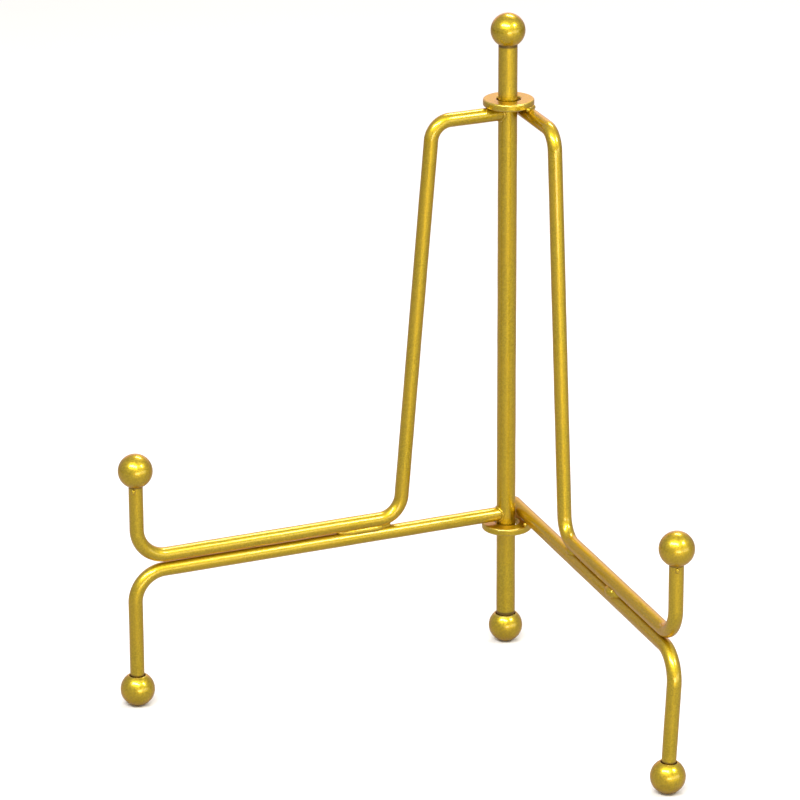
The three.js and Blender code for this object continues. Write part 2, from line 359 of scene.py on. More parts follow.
    def _roughness(self, sheet: NodeSheet, flakes: bpy.types.NodeSocket, patches: bpy.types.NodeSocket,
                   rubbed_and_highlit: bpy.types.NodeSocket) -> bpy.types.NodeSocket:
        """Roughness of the paint, uneven as it dried and smoother along scuffed edges.

        Args:
            sheet: The material's node sheet.
            flakes: The flakes' noise.
            patches: The patches' noise.
            rubbed_and_highlit: Share of the lighter edge colour, scuffed paint partly painted as a
                highlight.

        Returns:
            The roughness's output.
        """
        mixed = sheet.math("ADD", sheet.math("MULTIPLY", patches, 0.5), sheet.math("MULTIPLY", flakes, 0.5))
        dry = sheet.spread(mixed, self.smooth, self.dusty)
        return sheet.math("SUBTRACT", dry, sheet.math("MULTIPLY", rubbed_and_highlit, self.polish))

    def _marks(self, sheet: NodeSheet, place: bpy.types.NodeSocket) -> bpy.types.NodeSocket:
        """Drawing marks that show through the paint on a rod, or a soft swell on other pieces.

        Args:
            sheet: The material's node sheet.
            place: Object coordinates.

        Returns:
            Height of the marks, as a noise.
        """
        if self.grain is Grain.ALL_OVER:
            return sheet.noise(place, self.peel * self.soft_swell, 1.0)
        skin = sheet.attribute(Mark.SKIN, "Vector")
        stretch = sheet.add("ShaderNodeMapping", {"Vector": skin, "Scale": (1.0, 1.0, self.draw_squeeze)})
        return sheet.noise(stretch.outputs[0], self.draw_width)

    def _bump(self, sheet: NodeSheet, height: bpy.types.NodeSocket, depth: float,
              under: bpy.types.NodeSocket | None) -> bpy.types.NodeSocket:
        """Adds a layer of relief.

        Args:
            sheet: The material's node sheet.
            height: Noise that gives the relief.
            depth: Its depth in metres.
            under: Normal of the layer below, if there is one.

        Returns:
            The new normal's output.
        """
        bump = sheet.add("ShaderNodeBump", {"Strength": 1.0, "Distance": depth, "Height": height})
        if under is not None:
            sheet.feed(bump.inputs["Normal"], under)
        return bump.outputs["Normal"]


ROD_PAINT = GoldPaint("rod_gold", Slot.ROD, Grain.ALONG_ROD)
BALL_PAINT = GoldPaint(
    "ball_gold", Slot.BALL, Grain.ALL_OVER, smooth=0.36, dusty=0.46, peel_depth=0.045 * MM
)
WASHER_PAINT = GoldPaint("washer_gold", Slot.WASHER, Grain.ALL_OVER, dusty=0.48, peel=0.9 * MM)
WELD_PAINT = GoldPaint(
    "weld_gold", Slot.WELD, Grain.ALL_OVER, smooth=0.36, dusty=0.48, peel=0.7 * MM, peel_depth=0.03 * MM
)


# ---- Geometry node trees ----


class MakerTree:
    """A geometry node tree with named inputs that turns a path into a finished mesh."""

    def __init__(self, name: str, numbers: tuple[str, ...], counts: tuple[str, ...]) -> None:
        """Starts the tree.

        Args:
            name: The tree's name.
            numbers: Names of the inputs that are measures or shares.
            counts: Names of the inputs that are whole numbers.
        """
        self.tree = bpy.data.node_groups.new(name, "GeometryNodeTree")
        kinds = {"Path": "NodeSocketGeometry"}
        kinds |= dict.fromkeys(numbers, "NodeSocketFloat")
        kinds |= dict.fromkeys(counts, "NodeSocketInt")
        kinds["Finish"] = "NodeSocketMaterial"
        for socket, kind in kinds.items():
            self.tree.interface.new_socket(socket, in_out="INPUT", socket_type=kind)
        self.tree.interface.new_socket("Piece", in_out="OUTPUT", socket_type="NodeSocketGeometry")
        self.sheet = NodeSheet(self.tree)
        self.entry = self.sheet.add("NodeGroupInput")

    def value(self, name: str) -> bpy.types.NodeSocket:
        """The output that carries a named input."""
        return self.entry.outputs[name]

    def chain(self, geometry: bpy.types.NodeSocket, kind: str, inputs: dict[str, object] | None = None,
              **settings: object) -> bpy.types.Node:
        """Adds a node that the geometry passes through.

        Args:
            geometry: Output that carries the geometry.
            kind: Blender's name for the node's type.
            inputs: What its other inputs are fed, by name.
            settings: Properties of the node.

        Returns:
            The new node, with its first input joined.
        """
        node = self.sheet.add(kind, inputs, **settings)
        self.sheet.feed(node.inputs[0], geometry)
        return node

    def close(self, geometry: bpy.types.NodeSocket) -> None:
        """Ends the tree: smooth, real and painted.

        Args:
            geometry: Output that carries the finished shape.
        """
        smooth = self.chain(geometry, "GeometryNodeSetShadeSmooth")
        real = self.chain(smooth.outputs[0], "GeometryNodeRealizeInstances")
        painted = self.chain(real.outputs[0], "GeometryNodeSetMaterial", {"Material": self.value("Finish")})
        self.chain(painted.outputs[0], "NodeGroupOutput")

    def make(self, name: str, path: bpy.types.Object, values: dict[str, object]) -> bpy.types.Mesh:
        """Runs the tree on a path.

        Args:
            name: Name of the mesh made.
            path: Object whose mesh is the path; it is removed.
            values: The tree's inputs, by name.

        Returns:
            The plain mesh.
        """
        modifier = path.modifiers.new(self.tree.name, "NODES")
        modifier.node_group = self.tree
        for item in self.tree.interface.items_tree:
            if item.in_out == "INPUT" and item.name in values:
                modifier[item.identifier] = values[item.name]
        graph = bpy.context.evaluated_depsgraph_get()
        mesh = bpy.data.meshes.new_from_object(path.evaluated_get(graph), depsgraph=graph)
        mesh.name = name
        path.modifiers.remove(modifier)
        bpy.data.objects.remove(path)
        return mesh


class BentRodTree(MakerTree):
    """Sweeps a round rod along a path, with slight unevenness in its surface."""

    def __init__(self) -> None:
        """Builds the tree."""
        super().__init__("bent_rod", ("Rod Radius", "Unevenness", "Unevenness Length"), ("Sides", "Seed"))
        self.close(self._uneven(self._swept()))

    def _kept(self, geometry: bpy.types.NodeSocket, kind: str, name: str,
              value: bpy.types.NodeSocket) -> bpy.types.Node:
        """Keeps a value on a line's points, so that the swept mesh can use it.

        Args:
            geometry: Output that carries the line.
            kind: Blender's name for the value's type.
            name: The value's name.
            value: Output that gives it.

        Returns:
            The node that carries the line and the kept value.
        """
        node = self.chain(geometry, "GeometryNodeCaptureAttribute", domain="POINT")
        node.capture_items.new(kind, name)
        self.sheet.feed(node.inputs[name], value)
        return node

    def _swept(self) -> bpy.types.NodeSocket:
        """The rod, carrying its skin coordinates.

        Returns:
            The swept mesh's output.
        """
        sheet = self.sheet
        line = self.chain(self.value("Path"), "GeometryNodeMeshToCurve").outputs[0]
        length = sheet.add("GeometryNodeSplineParameter").outputs["Length"]
        along = self._kept(line, "FLOAT", "Along", length)
        sizes = {"Resolution": self.value("Sides"), "Radius": self.value("Rod Radius")}
        circle = sheet.add("GeometryNodeCurvePrimitiveCircle", sizes).outputs[0]
        spot = sheet.add("GeometryNodeInputPosition").outputs[0]
        section = self._kept(circle, "VECTOR", "Round", spot)
        taper = sheet.add("GeometryNodeInputNamedAttribute", {"Name": Mark.TAPER.value}, data_type="FLOAT")
        profile = {"Profile Curve": section.outputs[0], "Fill Caps": True, "Scale": taper.outputs[0]}
        sweep = self.chain(along.outputs[0], "GeometryNodeCurveToMesh", profile)
        flat = sheet.add("ShaderNodeSeparateXYZ", {"Vector": section.outputs["Round"]}).outputs
        skin = {"X": flat["X"], "Y": flat["Y"], "Z": along.outputs["Along"]}
        stored = {"Name": Mark.SKIN.value, "Value": sheet.add("ShaderNodeCombineXYZ", skin).outputs[0]}
        return self.chain(sweep.outputs[0], "GeometryNodeStoreNamedAttribute", stored,
                          data_type="FLOAT_VECTOR", domain="POINT").outputs[0]

    def _uneven(self, geometry: bpy.types.NodeSocket) -> bpy.types.NodeSocket:
        """Moves the skin in and out a little.

        Args:
            geometry: The swept mesh's output.

        Returns:
            The moved mesh's output.
        """
        sheet = self.sheet
        per_metre = sheet.math("DIVIDE", 1.0, self.value("Unevenness Length"))
        wander = {"Scale": per_metre, "Detail": 1.0, "W": self.value("Seed")}
        noise = sheet.add("ShaderNodeTexNoise", wander, noise_dimensions="4D").outputs[0]
        lift = sheet.math("MULTIPLY", sheet.math("SUBTRACT", noise, 0.5), self.value("Unevenness"))
        push = sheet.add("ShaderNodeVectorMath", {"Scale": lift}, operation="SCALE")
        sheet.feed(push.inputs[0], sheet.add("GeometryNodeInputNormal").outputs[0])
        return self.chain(geometry, "GeometryNodeSetPosition", {"Offset": push.outputs[0]}).outputs[0]


class WeldRunTree(MakerTree):
    """Lays overlapping puddles along a path and melts them into one bead."""

    PUDDLE_DETAIL: int = 4
    SOFTENING: int = 3

    def __init__(self) -> None:
        """Builds the tree."""
        super().__init__("weld_run", ("Puddle Radius", "Puddle Pitch", "Unevenness", "Melt"), ("Seed",))
        self.close(self._melted(self._puddles()))

    def _puddles(self) -> bpy.types.NodeSocket:
        """A row of puddles of seeded random size.

        Returns:
            The real spheres' output.
        """
        sheet = self.sheet
        line = self.chain(self.value("Path"), "GeometryNodeMeshToCurve").outputs[0]
        pitch = {"Length": self.value("Puddle Pitch")}
        spaced = self.chain(line, "GeometryNodeResampleCurve", pitch, mode="LENGTH").outputs[0]
        unit = {"Radius": 1.0, "Subdivisions": self.PUDDLE_DETAIL}
        puddle = sheet.add("GeometryNodeMeshIcoSphere", unit).outputs[0]
        spread = self.value("Unevenness")
        size = sheet.add("FunctionNodeRandomValue", {"Seed": self.value("Seed")}, data_type="FLOAT")
        sheet.feed(size.inputs[RANDOM_LOW], sheet.math("SUBTRACT", 1.0, spread))
        sheet.feed(size.inputs[RANDOM_HIGH], sheet.math("ADD", 1.0, spread))
        scale = sheet.math("MULTIPLY", size.outputs[RANDOM_RESULT], self.value("Puddle Radius"))
        laid = self.chain(spaced, "GeometryNodeInstanceOnPoints", {"Instance": puddle, "Scale": scale})
        return self.chain(laid.outputs[0], "GeometryNodeRealizeInstances").outputs[0]

    def _melted(self, geometry: bpy.types.NodeSocket) -> bpy.types.NodeSocket:
        """One closed skin round all the puddles, with its valleys softened.

        Args:
            geometry: The real spheres' output.

        Returns:
            The bead's output.
        """
        voxels = {"Voxel Size": self.value("Melt")}
        for step in ("GeometryNodeMeshToVolume", "GeometryNodeVolumeToMesh"):
            geometry = self.chain(geometry, step, voxels, resolution_mode="VOXEL_SIZE").outputs[0]
        soft = self.sheet.add("GeometryNodeBlurAttribute", data_type="FLOAT_VECTOR")
        soft.inputs["Iterations"].default_value = self.SOFTENING
        self.sheet.feed(soft.inputs["Value"], self.sheet.add("GeometryNodeInputPosition").outputs[0])
        return self.chain(geometry, "GeometryNodeSetPosition", {"Position": soft.outputs[0]}).outputs[0]


# ---- Shared making ----


def path_object(points: list[Vector], closed: bool = False, tapers: list[float] | None = None,
                shade_and_bare: list[float] | None = None) -> bpy.types.Object:
    """Makes the path that a tree works along.

    Args:
        points: The path's points in order.
        closed: Whether the last point joins the first.
        tapers: Share of the full section at each point, or None for a full section all along.
        shade_and_bare: Share of painted shade at each point, where a ball shades the rod, partly unpainted
            steel; None for none.

    Returns:
        An object whose mesh is the path.
    """
    edges = [(i, i + 1) for i in range(len(points) - 1)]
    if closed:
        edges.append((len(points) - 1, 0))
    mesh = bpy.data.meshes.new("path")
    mesh.from_pydata([tuple(point) for point in points], edges, [])
    marks = {Mark.TAPER: tapers or [1.0] * len(points), Mark.SHADE_AND_BARE: shade_and_bare or [0.0] * len(points)}
    for mark, values in marks.items():
        mesh.attributes.new(mark.value, "FLOAT", "POINT").data.foreach_set("value", values)
    path = bpy.data.objects.new("path", mesh)
    bpy.context.scene.collection.objects.link(path)
    return path


def bend_points(corner: Vector, incoming: Vector, outgoing: Vector, radius: float,
                widest_step: float = 4.0, least_steps: int = 4) -> list[Vector]:
    """Points of a round bend between two straight runs.

    Args:
        corner: Where the runs' centre lines would cross.
        incoming: Unit direction into the corner.
        outgoing: Unit direction out of it.
        radius: Centre-line radius of the bend.
        widest_step: Most degrees between two points.
        least_steps: Fewest steps that the bend is made in.

    Returns:
        The bend's points, with its start and end.
    """
    turn = incoming.angle(outgoing)
    start = corner - incoming * radius * math.tan(turn / 2)
    axis = incoming.cross(outgoing).normalized()
    centre = start + axis.cross(incoming) * radius
    steps = max(least_steps, math.ceil(math.degrees(turn) / widest_step))
    return [centre + Matrix.Rotation(turn * i / steps, 3, axis) @ (start - centre) for i in range(steps + 1)]


def bent_line(corners: list[Vector], radii: list[float]) -> list[Vector]:
    """The centre line of a rod bent at each inner corner.

    Args:
        corners: The rod's ends and corners in order.
        radii: Bend radius of each inner corner.

    Returns:
        The line's points.
    """
    runs = [(after - before).normalized() for before, after in zip(corners, corners[1:])]
    line = [corners[0]]
    for corner, incoming, outgoing, radius in zip(corners[1:], runs, runs[1:], radii):
        line += bend_points(corner, incoming, outgoing, radius)
    return [*line, corners[-1]]


def divided(points: list[Vector], parts_of: list[int]) -> list[Vector]:
    """Divides each run of a line evenly.

    Args:
        points: The line's points.
        parts_of: How many parts each run gets.

    Returns:
        The line's points and those added.
    """
    line = [points[0]]
    for before, after, parts in zip(points, points[1:], parts_of):
        line += [before.lerp(after, (i + 1) / parts) for i in range(parts)]
    return line


def away_from_front(azimuth: float, elevation: float) -> Vector:
    """The direction of a place seen from the stand.

    Args:
        azimuth: Degrees round the stand from the open front, anticlockwise from above.
        elevation: Degrees above the horizon.

    Returns:
        The unit direction.
    """
    turn, rise = math.radians(azimuth), math.radians(elevation)
    return Vector((math.sin(turn) * math.cos(rise), -math.cos(turn) * math.cos(rise), math.sin(rise)))


def finish_piece(name: str, mesh: bpy.types.Mesh, body: Body,
                 node: str | None) -> bpy.types.Object:
    """Puts a finished mesh in the scene and on its body.

    Args:
        name: The piece's name.
        mesh: Its mesh, in the CAD frame.
        body: The body it rides on.
        node: The CAD node it stands for, or None.

    Returns:
        The piece.
    """
    piece = bpy.data.objects.new(name, mesh)
    bpy.context.scene.collection.objects.link(piece)
    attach(piece, body.value)
    if node is not None:
        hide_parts(node)
    LOG.info("%s: %d faces, on %s", name, len(mesh.polygons), body.value)
    return piece


@dataclass
class TurnedProfile:
    """A closed shape turned about an axis.

    Args:
        points: Radius and height of each profile point in order. A profile that starts and ends
            on the axis closes there; any other joins its last point to its first.
        wear_and_highlight: Share of the lighter edge colour at each point, from 0 to 1: scuffed paint,
            partly a painted highlight.
        sides: Facets round the axis.
        on_axis: Radius below which a point counts as on the axis.
    """

    points: list[tuple[float, float]]
    wear_and_highlight: list[float]
    sides: int = 96
    on_axis: float = 1e-9

    def mesh(self, name: str, centre: Vector, axis: Vector) -> bpy.types.Mesh:
        """Turns the profile.

        Args:
            name: Name of the mesh.
            centre: Where the profile's height is zero.
            axis: Direction of the turning axis.

        Returns:
            The closed mesh, faces outwards, with its attribute for the lighter edge colour.
        """
        shell = bmesh.new()
        layer = shell.verts.layers.float.new(Mark.WEAR_AND_HIGHLIGHT.value)
        rings = [self._ring(shell, layer, point, wear_and_highlight) for point, wear_and_highlight in zip(self.points, self.wear_and_highlight)]
        pairs = list(zip(rings, rings[1:]))
        if self.points[0][0] > 0:
            pairs.append((rings[-1], rings[0]))
        for lower, upper in pairs:
            self._band(shell, lower, upper)
        bmesh.ops.recalc_face_normals(shell, faces=shell.faces)
        turn = UP.rotation_difference(axis).to_matrix().to_4x4()
        bmesh.ops.transform(shell, matrix=Matrix.Translation(centre) @ turn, verts=shell.verts)
        for face in shell.faces:
            face.smooth = True
        mesh = bpy.data.meshes.new(name)
        shell.to_mesh(mesh)
        shell.free()
        return mesh

    def _ring(self, shell: bmesh.types.BMesh, layer: bmesh.types.BMLayerItem, point: tuple[float, float],
              wear_and_highlight: float) -> list[bmesh.types.BMVert]:
        """Adds one ring, or a single vertex on the axis.

        Args:
            shell: The mesh being turned.
            layer: Its layer for the lighter edge colour.
            point: The profile point's radius and height.
            wear_and_highlight: Share of the lighter edge colour on the ring.

        Returns:
            The ring's vertices in order.
        """
        radius, height = point
        count = self.sides if radius > self.on_axis else 1
        ring = []
        for i in range(count):
            angle = 2 * math.pi * i / count
            vert = shell.verts.new((radius * math.cos(angle), radius * math.sin(angle), height))
            vert[layer] = wear_and_highlight
            ring.append(vert)
        return ring

    def _band(self, shell: bmesh.types.BMesh, lower: list[bmesh.types.BMVert],
              upper: list[bmesh.types.BMVert]) -> None:
        """Joins two neighbouring rings with faces.

        Args:
            shell: The mesh being turned.
            lower: The first ring.
            upper: The next one.
        """
        for i in range(self.sides):
            j = (i + 1) % self.sides
            if len(lower) == 1:
                shell.faces.new((lower[0], upper[i], upper[j]))
            elif len(upper) == 1:
                shell.faces.new((lower[i], lower[j], upper[0]))
            else:
                shell.faces.new((lower[i], lower[j], upper[j], upper[i]))


# ---- Sizes and places taken from the CAD part ----


@dataclass
class Stock:
    """Sizes of the steel, the same all over the stand.

    Args:
        wire: Diameter of the bent wires.
        ball: Diameter of every ball.
        gap: Clearance between pieces that meet.
        rod_seat: Distance from a ball's centre to the end of the rod in it.
        foot_flat: Radius of the flat under a foot ball.
        post_box: Lowest and highest corner of the post.
    """

    wire: float = 4.5 * MM
    ball: float = 10.8 * MM
    gap: float = 0.3 * MM
    rod_seat: float = 1.5 * MM
    foot_flat: float = 1.2 * MM
    post_box: tuple[Vector, Vector] = field(default_factory=lambda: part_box("post"))

    @property
    def wire_radius(self) -> float:
        """Radius of the bent wires."""
        return self.wire / 2

    @property
    def ball_radius(self) -> float:
        """Radius of every ball."""
        return self.ball / 2

    @property
    def post_radius(self) -> float:
        """Radius of the post."""
        low, high = self.post_box
        return (high.x - low.x) / 2

    def ball_centre(self, node: str) -> Vector:
        """Centre of a ball, from its node's box.

        Args:
            node: The CAD ball.

        Returns:
            Its centre. A ball that stands on its flat is measured from the floor.
        """
        low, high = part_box(node)
        stands = low.z < self.gap
        height = math.sqrt(self.ball_radius**2 - self.foot_flat**2) if stands else high.z - self.ball_radius
        return Vector(((low.x + high.x) / 2, (low.y + high.y) / 2, height))


@dataclass
class WingPlace:
    """Where a wing stands: out along its arms, up, and the side that faces the album.

    Args:
        side: Left or right, as the node names have it.
        out: Unit direction from the post along the arms.
        offset: How far the wires stand beside the post's axis.
        inward: 1 where the album side is to the left of the outward direction, else -1.
        stock: The stand's stock sizes.
    """

    side: str
    out: Vector
    offset: float
    inward: int
    stock: Stock

    @property
    def across(self) -> Vector:
        """Horizontal direction square to the arms."""
        return UP.cross(self.out)

    @property
    def arm_height(self) -> float:
        """Height of the lower wire's arm."""
        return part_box(f"{self.side}_lower_wire")[1].z - self.stock.wire_radius

    @property
    def top_arm_height(self) -> float:
        """Height of the upper wire's top arm."""
        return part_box(f"{self.side}_upper_wire")[1].z - self.stock.wire_radius

    @property
    def ledge_height(self) -> float:
        """Height of the ledge wire that lies on the lower arm."""
        return self.arm_height + self.stock.wire + self.stock.gap

    @property
    def foot(self) -> Vector:
        """Centre of the foot ball."""
        return self.stock.ball_centre(f"{self.side}_foot_ball")

    @property
    def hook(self) -> Vector:
        """Centre of the hook ball."""
        return self.stock.ball_centre(f"{self.side}_hook_ball")

    def point(self, reach: float, beside: float, height: float) -> Vector:
        """A point of the wing.

        Args:
            reach: Distance out along the arms.
            beside: Distance towards the album side from the wires' upright plane.
            height: Height above the floor.

        Returns:
            The point in the CAD frame.
        """
        return self.out * reach + self.across * (self.offset + self.inward * beside) + Vector((0, 0, height))


def left_place(stock: Stock) -> WingPlace:
    """Finds the left wing, whose wires stand in line with the post's axis."""
    hook = stock.ball_centre("left_hook_ball")
    return WingPlace("left", Vector((hook.x, hook.y, 0)).normalized(), 0.0, 1, stock)


def right_place(stock: Stock) -> WingPlace:
    """Finds the right wing, the same reach as the left but set beside the post's axis.

    Args:
        stock: The stand's stock sizes.

    Returns:
        The wing's place.
    """
    reach = stock.ball_centre("left_hook_ball").xy.length
    hook = stock.ball_centre("right_hook_ball")
    offset = math.sqrt(max(0.0, hook.xy.length_squared - reach**2))
    out = Matrix.Rotation(-math.atan2(offset, reach), 3, "Z") @ Vector((hook.x, hook.y, 0))
    return WingPlace("right", out.normalized(), offset, -1, stock)


# ---- Pieces ----


@dataclass
class BallEnd:
    """A steel ball drilled for the end of a rod.

    Args:
        node: The CAD ball it stands for.
        body: The body it rides on.
        rod_radius: Radius of the rod in it.
        towards_rod: Direction from its centre along the rod.
        stock: The stand's stock sizes.
        lip: Radius of the drilled hole's softened edge.
        play: Clearance round the rod, as a share of the CAD gap.
        rubbed_and_highlit: Height of the band of lighter colour at the lip.
        arc_steps: Steps from the far pole to the lip.
        lip_steps: Steps round the lip.
    """

    node: str
    body: Body
    rod_radius: float
    towards_rod: Vector
    stock: Stock
    lip: float = 0.25 * MM
    play: float = 0.85
    rubbed_and_highlit: float = 0.5 * MM
    arc_steps: int = 44
    lip_steps: int = 4

    def profile(self) -> TurnedProfile:
        """The ball's outline from its far pole, over the lip and down the hole.

        Returns:
            The profile, with the lighter colour at the lip: scuffed paint, partly a painted highlight.
        """
        lip = self.lip
        hole = self.rod_radius + self.stock.gap * self.play
        radius = self.stock.ball_radius
        last = math.acos((hole + lip) / radius)
        points = []
        for i in range(self.arc_steps + 1):
            angle = -math.pi / 2 + (last + math.pi / 2) * i / self.arc_steps
            points.append((radius * math.cos(angle) if i else 0.0, radius * math.sin(angle)))
        mouth = radius * math.sin(last)
        for i in range(1, self.lip_steps + 1):
            turn = last + (math.pi - last) * i / self.lip_steps
            points.append((hole + lip + lip * (math.cos(turn) - math.cos(last)) / (1 + math.cos(last)),
                           mouth - lip * (math.sin(last) - math.sin(turn))))
        floor = self.stock.rod_seat - self.stock.gap
        points += [(hole, (mouth + floor) / 2), (hole, floor), (hole / 2, floor), (0.0, floor)]
        # Lighter colour at the lip: scuffed paint, partly a painted highlight.
        wear_and_highlight = [1.0 if abs(height - mouth) < self.rubbed_and_highlit and out < hole + 2 * lip else 0.0
                for out, height in points]
        return TurnedProfile(points, wear_and_highlight)

    def build(self) -> bpy.types.Object:
        """Builds the ball, with a flat scuffed on it where it stands on the floor.

        Returns:
            The finished piece.
        """
        centre = self.stock.ball_centre(self.node)
        mesh = self.profile().mesh(f"{self.node}_turned", centre, self.towards_rod)
        if centre.z < self.stock.ball_radius:
            self._flatten(mesh)
        mesh.materials.append(BALL_PAINT.made)
        return finish_piece(f"painted_{self.node}", mesh, self.body, self.node)

    def _flatten(self, mesh: bpy.types.Mesh) -> None:
        """Cuts the ball off level with the floor and closes it.

        Args:
            mesh: The ball's mesh.
        """
        shell = bmesh.new()
        shell.from_mesh(mesh)
        everything = shell.verts[:] + shell.edges[:] + shell.faces[:]
        cut = bmesh.ops.bisect_plane(shell, geom=everything, plane_co=(0, 0, 0), plane_no=(0, 0, -1),
                                     clear_outer=True)
        rim = [item for item in cut["geom_cut"] if isinstance(item, bmesh.types.BMEdge)]
        bmesh.ops.edgeloop_fill(shell, edges=rim)
        bmesh.ops.recalc_face_normals(shell, faces=shell.faces)
        shell.to_mesh(mesh)
        shell.free()


@dataclass
class WasherRing:
    """A stamped washer with soft edges.

    Args:
        node: The CAD washer it stands for.
        hang: How far it hangs off centre, within its play on the post.
        bore: Radius of its hole.
        edge: Radius of its softened edges.
        support: Distance from an edge to the point that holds the flat beside it, in edge radii.
        edge_wear_and_highlight: Share of the lighter edge colour at each point of an edge, from face to
            face.
        sides: Facets round the ring.
    """

    node: str
    hang: Vector
    bore: float = 3.75 * MM
    edge: float = 0.5 * MM
    support: float = 0.4
    edge_wear_and_highlight: tuple[float, ...] = (0.0, 0.3, 0.8, 1.0, 1.0, 1.0, 0.8, 0.3, 0.0)
    sides: int = 128

    def build(self) -> bpy.types.Object:
        """Turns the washer.

        Returns:
            The finished piece.
        """
        low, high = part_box(self.node)
        centre = (low + high) / 2 + self.hang
        outer = (high.x - low.x) / 2
        half = (high.z - low.z) / 2
        corners = [(outer, -half), (outer, half), (self.bore, half), (self.bore, -half)]
        points = []
        for index, (radius, height) in enumerate(corners):
            points += self._corner(radius, height, 90.0 * index)
        # Lighter colour along every edge: scuffed paint, partly a painted highlight.
        wear_and_highlight = [*self.edge_wear_and_highlight] * len(corners)
        mesh = TurnedProfile(points, wear_and_highlight, self.sides).mesh(f"{self.node}_turned", centre, UP)
        mesh.materials.append(WASHER_PAINT.made)
        return finish_piece(f"painted_{self.node}", mesh, Body.SWING, self.node)

    def _corner(self, radius: float, height: float, start: float) -> list[tuple[float, float]]:
        """Rounds one corner of the section, with a supporting point on each side.

        Args:
            radius: The sharp corner's radius.
            height: Its height.
            start: Direction of the face before it, in degrees.

        Returns:
            Radius and height of each point, as many as there are wear values.
        """
        inside = Vector((-1 if radius > self.bore else 1, -1 if height > 0 else 1)) * self.edge
        centre = Vector((radius, height)) + inside
        first = math.radians(start - 90.0)
        steps = len(self.edge_wear_and_highlight) - 3
        angles = [first + math.pi / 2 * i / steps for i in range(steps + 1)]
        arc = [Vector((math.cos(angle), math.sin(angle))) for angle in angles]
        turned = [centre + direction * self.edge for direction in arc]
        ahead = Vector((-arc[-1].y, arc[-1].x)) * self.edge * self.support
        behind = Vector((arc[0].y, -arc[0].x)) * self.edge * self.support
        return [tuple(point) for point in (turned[0] + behind, *turned, turned[-1] + ahead)]


@dataclass
class RodMaker:
    """Makes every rod of the stand with one geometry node tree.

    Args:
        tree: The sweeping tree.
        sides: Facets round a rod.
        unevenness: How far the surface wanders in and out.
        unevenness_length: Distance over which it wanders.
        step: Distance between sections on straight runs.
        mouth: Distance from a ball's centre to where its rod comes out.
        mouth_parts: Parts that a run near a ball's mouth is divided in.
        mouth_reach: How far from the mouth such runs lie.
        shade_and_bare_ring: Width of the dark ring under a ball: painted shade, partly unpainted steel.
        end_setbacks: Distance of each section that rounds off a cut end.
        end_shares: Share of the full section that each of them has.
    """

    tree: BentRodTree
    sides: int = 40
    unevenness: float = 0.12 * MM
    unevenness_length: float = 9 * MM
    step: float = 2 * MM
    mouth: float = 5.05 * MM
    mouth_parts: int = 8
    mouth_reach: float = 2 * MM
    shade_and_bare_ring: float = 0.3 * MM
    end_setbacks: tuple[float, ...] = (0.0, 0.06 * MM, 0.2 * MM, 0.45 * MM)
    end_shares: tuple[float, ...] = (0.84, 0.93, 0.985, 1.0)

    def build(self, node: str, body: Body, points: list[Vector], radius: float, seed: int,
              balls: tuple[Vector, ...]) -> bpy.types.Object:
        """Sweeps one rod.

        Args:
            node: The CAD rod it stands for.
            body: The body it rides on.
            points: Its centre line.
            radius: Its radius.
            seed: Seed of its unevenness.
            balls: Centres of the balls on its ends.

        Returns:
            The finished piece.
        """
        line, tapers = self._with_soft_ends(self._sections(points, balls))
        # Painted shade where each ball shades its rod, partly unpainted steel.
        shade_and_bare_shares = [max(self._shade_and_bare_share(point, ball) for ball in balls) for point in line]
        values = {
            "Rod Radius": radius,
            "Unevenness": self.unevenness,
            "Unevenness Length": self.unevenness_length,
            "Sides": self.sides,
            "Seed": seed,
            "Finish": ROD_PAINT.made,
        }
        path = path_object(line, tapers=tapers, shade_and_bare=shade_and_bare_shares)
        mesh = self.tree.make(f"{node}_swept", path, values)
        return finish_piece(f"painted_{node}", mesh, body, node)

    def _shade_and_bare_share(self, point: Vector, ball: Vector) -> float:
        """Share of painted shade at a point of the line, partly unpainted steel, from 1 at the ball's mouth
        to 0 clear of it.
        """
        clear = (point - ball).length - self.mouth
        return max(0.0, min(1.0, 1.0 - clear / self.shade_and_bare_ring))

    def _sections(self, points: list[Vector], balls: tuple[Vector, ...]) -> list[Vector]:
        """Adds sections on the long runs, and close ones where the rod leaves a ball.

        Args:
            points: The centre line.
            balls: Centres of the balls.

        Returns:
            The line with the sections added.
        """
        lengths = [(after - before).length for before, after in zip(points, points[1:])]
        line = divided(points, [max(1, math.ceil(length / self.step)) for length in lengths])
        clear = [min((point - ball).length for ball in balls) for point in line]
        near = self.mouth + self.mouth_reach
        return divided(line, [self.mouth_parts if min(pair) < near else 1 for pair in zip(clear, clear[1:])])

    def _with_soft_ends(self, points: list[Vector]) -> tuple[list[Vector], list[float]]:
        """Adds the sections that round off both cut ends.

        Args:
            points: The centre line.

        Returns:
            The line with its end sections, and each section's share of the full one.
        """
        first = (points[1] - points[0]).normalized()
        last = (points[-2] - points[-1]).normalized()
        start = [points[0] + first * back for back in self.end_setbacks]
        end = [points[-1] + last * back for back in reversed(self.end_setbacks)]
        line = [*start, *points[1:-1], *end]
        tapers = [*self.end_shares, *[1.0] * (len(points) - 2), *reversed(self.end_shares)]
        return line, tapers


